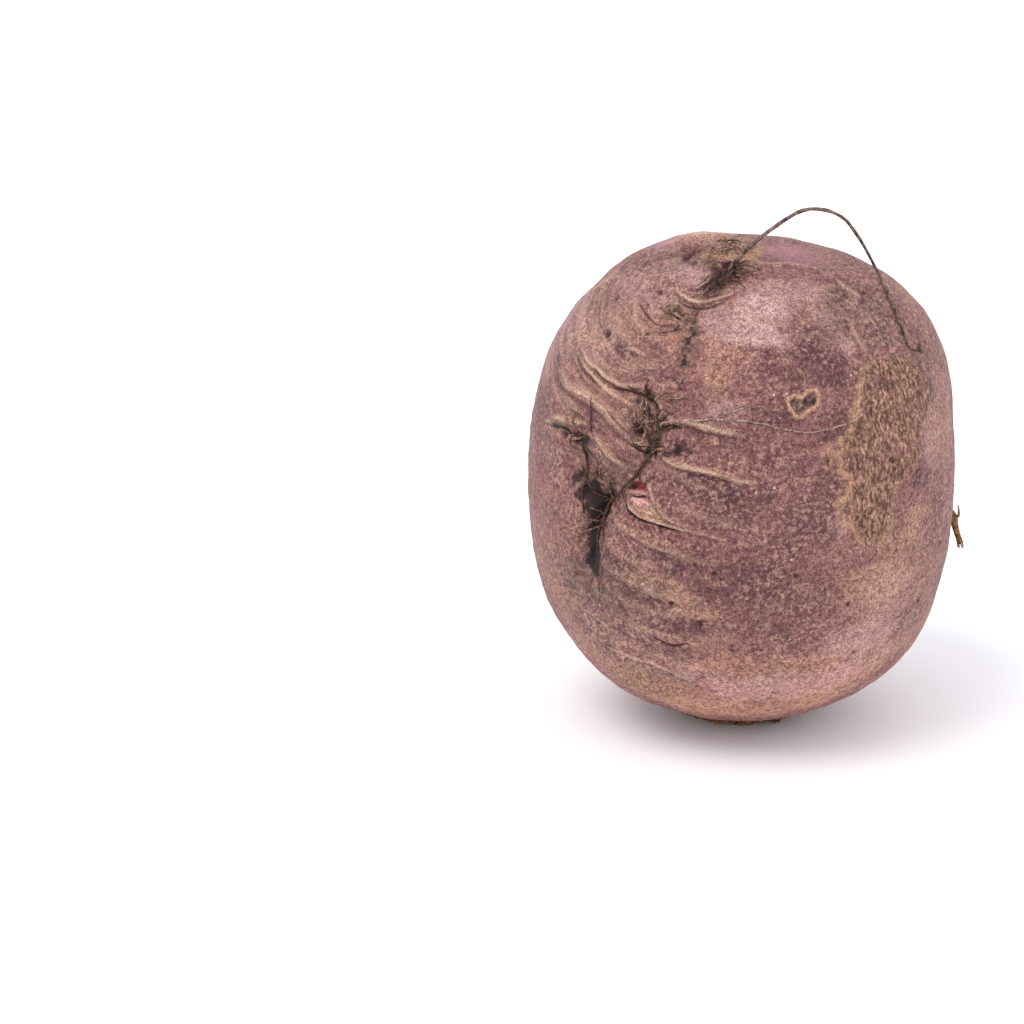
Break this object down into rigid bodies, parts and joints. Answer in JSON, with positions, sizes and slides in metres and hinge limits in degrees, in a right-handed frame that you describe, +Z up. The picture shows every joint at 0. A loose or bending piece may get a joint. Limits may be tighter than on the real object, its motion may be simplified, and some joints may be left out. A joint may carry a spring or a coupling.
{
  "type": "beetroot",
  "caption": "Whole beetroot: a round swollen root with a wrinkled root seam, fine side roots and a small trimmed crown that it stands on.",
  "frame": {"origin": "middle of the small flat spot under the trimmed crown, on the surface that the beetroot stands on", "axes": "+Z up from the crown towards the root tip; -Y faces the viewer of the picture; +X to the viewer's right"},
  "size_m": [0.083, 0.0786, 0.1024],
  "materials": {
    "skin": "matte"
  },
  "bodies": {
    "root": {"beetroot": "skin"}
  },
  "joints": []
}
